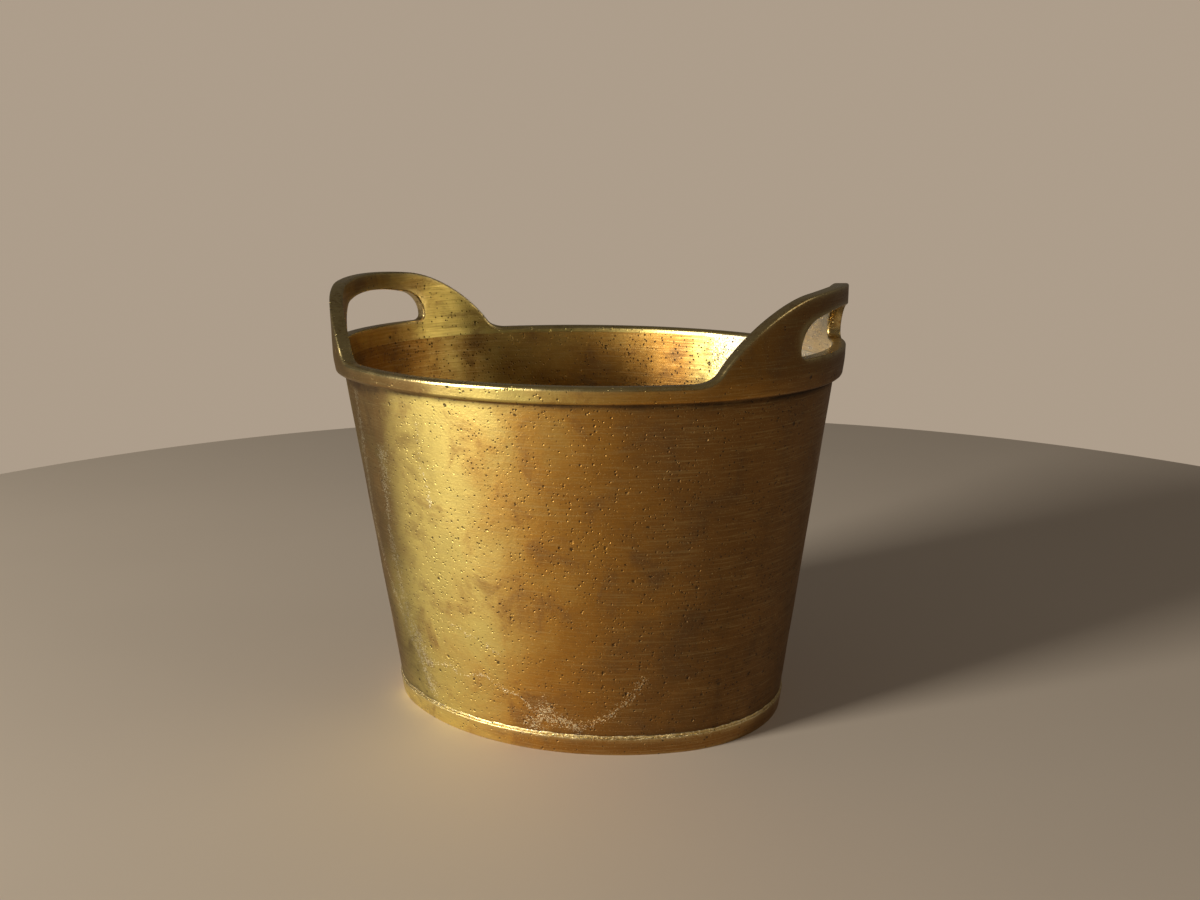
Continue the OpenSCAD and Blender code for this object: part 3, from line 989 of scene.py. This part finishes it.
class POT_OT_beads(Operator):
    """Brazed beads under the collar, over the foot band and round the floor: small
    profiles carried round the oval, each with a size that wavers along it"""
    bl_idname = "pot.beads"
    bl_label = "Brazed beads"

    def execute(self, context):
        shape, look, columns = settings()
        size = shape.sizes
        s = steps_round(shape, 2 * columns)
        flat = 0 * s

        def waver(seed, shortest):
            return ripple(s, flat, shape.around, seed, waves=90, longest=0.05,
                          shortest=shortest)

        def put(name, distance, z, edge, fray, shade_and_dirt, node, material):
            put_ring(name, shape.at(s, z, distance),
                     {"edge": edge, "fray": fray, "shade_and_dirt": shade_and_dirt}, material, node)

        # fillet under the collar: a hollow arc whose leg wavers; its darker tone and
        # the shade_and_dirt mark paint a shadow under the band
        leg = size.collar_leg * (0.92 + 0.08 * waver(51, 0.004))
        band = shape.band_bottom
        low = band - leg
        hollow_d, hollow_z = arc(shape.wall_outside(low) + leg, low, leg, 180, 90, 6)
        d = np.concatenate([hollow_d, shape.wall_outside(band) - BITE + flat,
                            shape.wall_outside(low) - BITE])
        z = np.concatenate([hollow_z, band + BITE + flat, low])
        put("collar_bead", d, z, 0.0, NO_SCRATCH, 0.85, "collar_braze",
            cast_brass("braze in painted shadow", look, tone=0.08, pits=0.2))

        # bead over the foot band: a lumpy face under a frayed upper edge
        top = shape.foot_height
        tall = size.foot_leg * (0.72 + 0.28 * waver(61, 0.0024))
        lump = 0.12 * MM * waver(62, 0.002)
        part = np.array([0.0, 0.25, 0.55, 0.8, 1.0])[:, None]
        proud = ((size.foot_proud - size.foot_round) * (1 - part ** 2)
                 + 4 * lump * part * (1 - part))
        z = top - BITE + (tall + BITE) * part
        d = shape.wall_outside(z) + np.clip(proud, 0.02 * MM, None)
        ends = np.concatenate([z[-1:], z[:1]])
        d = np.concatenate([d, shape.wall_outside(ends) - BITE])
        z = np.concatenate([z, ends])
        put("foot_bead", d, z, 1.0, 0.0, 0.0, "foot_braze",
            cast_brass("bright braze", look, tone=-0.03, pits=0.2, grit=2.0))

        # fillet round the floor, seen from above; darkened a little as painted shade in
        # the corner
        floor = FLOOR_HIGH.z
        leg = size.floor_leg * (0.9 + 0.1 * waver(71, 0.004))
        edge = shape.lip_inside(floor)
        hollow_d, hollow_z = arc(edge - leg, floor + leg, leg, 270, 360, 6)
        d = np.concatenate([hollow_d, edge + BITE + flat])
        z = np.concatenate([hollow_z, floor - BITE + flat])
        put("floor_bead", d[::-1], z[::-1], 0.3, NO_SCRATCH, 0.3, "floor_braze",
            cast_brass("floor braze", look, tone=0.04, pits=0.2))
        return {"FINISHED"}


class POT_OT_stage(Operator):
    """Floor, room light, soft lamps and the camera"""
    bl_idname = "pot.stage"
    bl_label = "Studio"

    def execute(self, context):
        scene = context.scene
        look = scene.pot_studio
        scene.view_settings.view_transform = "Standard"
        # a disc of rings round one middle face
        turn = np.linspace(0, 2 * math.pi, 180, endpoint=False)
        ring = np.linspace(50 * MM, 850 * MM, 9)[:, None]
        x, y = ring * np.cos(turn), ring * np.sin(turn)
        numbers = np.arange(x.size).reshape(x.shape)
        ground = bpy.data.meshes.new("studio_floor")
        ground.from_pydata(np.stack([x, y, 0 * x], axis=-1).reshape(-1, 3).tolist(), [],
                           quads_between(numbers)[:, ::-1].tolist()
                           + [numbers[0].tolist()])
        floor = bpy.data.objects.new("studio_floor", ground)
        scene.collection.objects.link(floor)
        paper = Finish("pale floor")
        shade = paper.ramp(paper.noise(3.0, 3.0), 0.3, 0.7)
        pale = Vector(look.floor_colour)
        paper.give(Base_Color=paper.mix(shade, pale * 0.97, pale), Roughness=0.75)
        ground.materials.append(paper.material)

        self.room(scene, look)
        self.lamp("key lamp", azimuth=-126.5, elevation=11, distance=2.4,
                  size=(0.58, 0.85), power=84, tint=(1.0, 0.955, 0.87))
        self.lamp("fill lamp", azimuth=5, elevation=30, distance=2.2, size=(1.4, 1.4),
                  power=4.5, tint=(1.0, 0.92, 0.82))

        camera = bpy.data.cameras.new("camera")
        camera.lens, camera.sensor_width = look.lens, 36.0
        camera.clip_start = 0.01
        eye = bpy.data.objects.new("camera", camera)
        scene.collection.objects.link(eye)
        eye.matrix_world = (
            Matrix.Rotation(look.azimuth, 4, "Z")
            @ Matrix.Translation((0, -look.distance, look.height))
            @ Matrix.Rotation(-look.turn, 4, "Z")
            @ Matrix.Rotation(math.pi / 2 - look.tilt, 4, "X")
            @ Matrix.Rotation(look.roll, 4, "Z"))
        scene.camera = eye
        return {"FINISHED"}

    def room(self, scene, look):
        """Pale backdrop to the camera, and a dim room to the metal"""
        room = bpy.data.worlds.new("studio room")
        room.use_nodes = True
        scene.world = room
        nodes, links = room.node_tree.nodes, room.node_tree.links
        dim, pale = nodes["Background"], nodes.new("ShaderNodeBackground")
        dim.inputs["Color"].default_value = (*look.room, 1)
        dim.inputs["Strength"].default_value = look.room_light
        pale.inputs["Color"].default_value = (*look.backdrop, 1)
        choice = nodes.new("ShaderNodeMixShader")
        rays = nodes.new("ShaderNodeLightPath")
        links.new(rays.outputs["Is Camera Ray"], choice.inputs[0])
        links.new(dim.outputs[0], choice.inputs[1])
        links.new(pale.outputs[0], choice.inputs[2])
        links.new(choice.outputs[0], nodes["World Output"].inputs["Surface"])

    def lamp(self, name, azimuth, elevation, distance, size, power, tint):
        """Area lamp aimed at the pot's middle, placed by angles in degrees"""
        light = bpy.data.lights.new(name, "AREA")
        light.shape, light.size, light.size_y = "RECTANGLE", *size
        light.energy, light.color = power, tint
        lamp = bpy.data.objects.new(name, light)
        bpy.context.scene.collection.objects.link(lamp)
        turn, rise = math.radians(azimuth), math.radians(elevation)
        way = Vector((math.cos(turn) * math.cos(rise), math.sin(turn) * math.cos(rise),
                      math.sin(rise)))
        middle = Vector((0, 0, 100 * MM))
        lamp.location = middle + distance * way
        lamp.rotation_euler = (-way).to_track_quat("-Z", "Y").to_euler()


class POT_PT_panel(Panel):
    """Lists the pot's pieces and settings"""
    bl_idname = "POT_PT_panel"
    bl_label = "Brass planter pot"
    bl_space_type = "VIEW_3D"
    bl_region_type = "UI"
    bl_category = "Planter"

    def draw(self, context):
        for operator in OPERATORS:
            self.layout.operator(operator.bl_idname)
        for group in (context.scene.pot_sizes, context.scene.pot_finish,
                      context.scene.pot_studio):
            box = self.layout.box()
            for name in group.__annotations__:
                box.prop(group, name)


OPERATORS = (POT_OT_wall, POT_OT_collar, POT_OT_foot, POT_OT_floor, POT_OT_beads,
             POT_OT_stage)
GROUPS = (("pot_sizes", PotSizes), ("pot_finish", PotFinish),
          ("pot_studio", StudioLook))


def register():
    for name, group in GROUPS:
        bpy.utils.register_class(group)
        setattr(bpy.types.Scene, name, PointerProperty(type=group))
    for made in OPERATORS + (POT_PT_panel,):
        bpy.utils.register_class(made)


def unregister():
    for made in reversed(OPERATORS + (POT_PT_panel,)):
        bpy.utils.unregister_class(made)
    for name, group in reversed(GROUPS):
        delattr(bpy.types.Scene, name)
        bpy.utils.unregister_class(group)


def main():
    register()
    bpy.ops.pot.wall()
    bpy.ops.pot.collar()
    bpy.ops.pot.foot()
    bpy.ops.pot.floor()
    bpy.ops.pot.beads()
    bpy.ops.pot.stage()


if __name__ == "__main__":
    main()
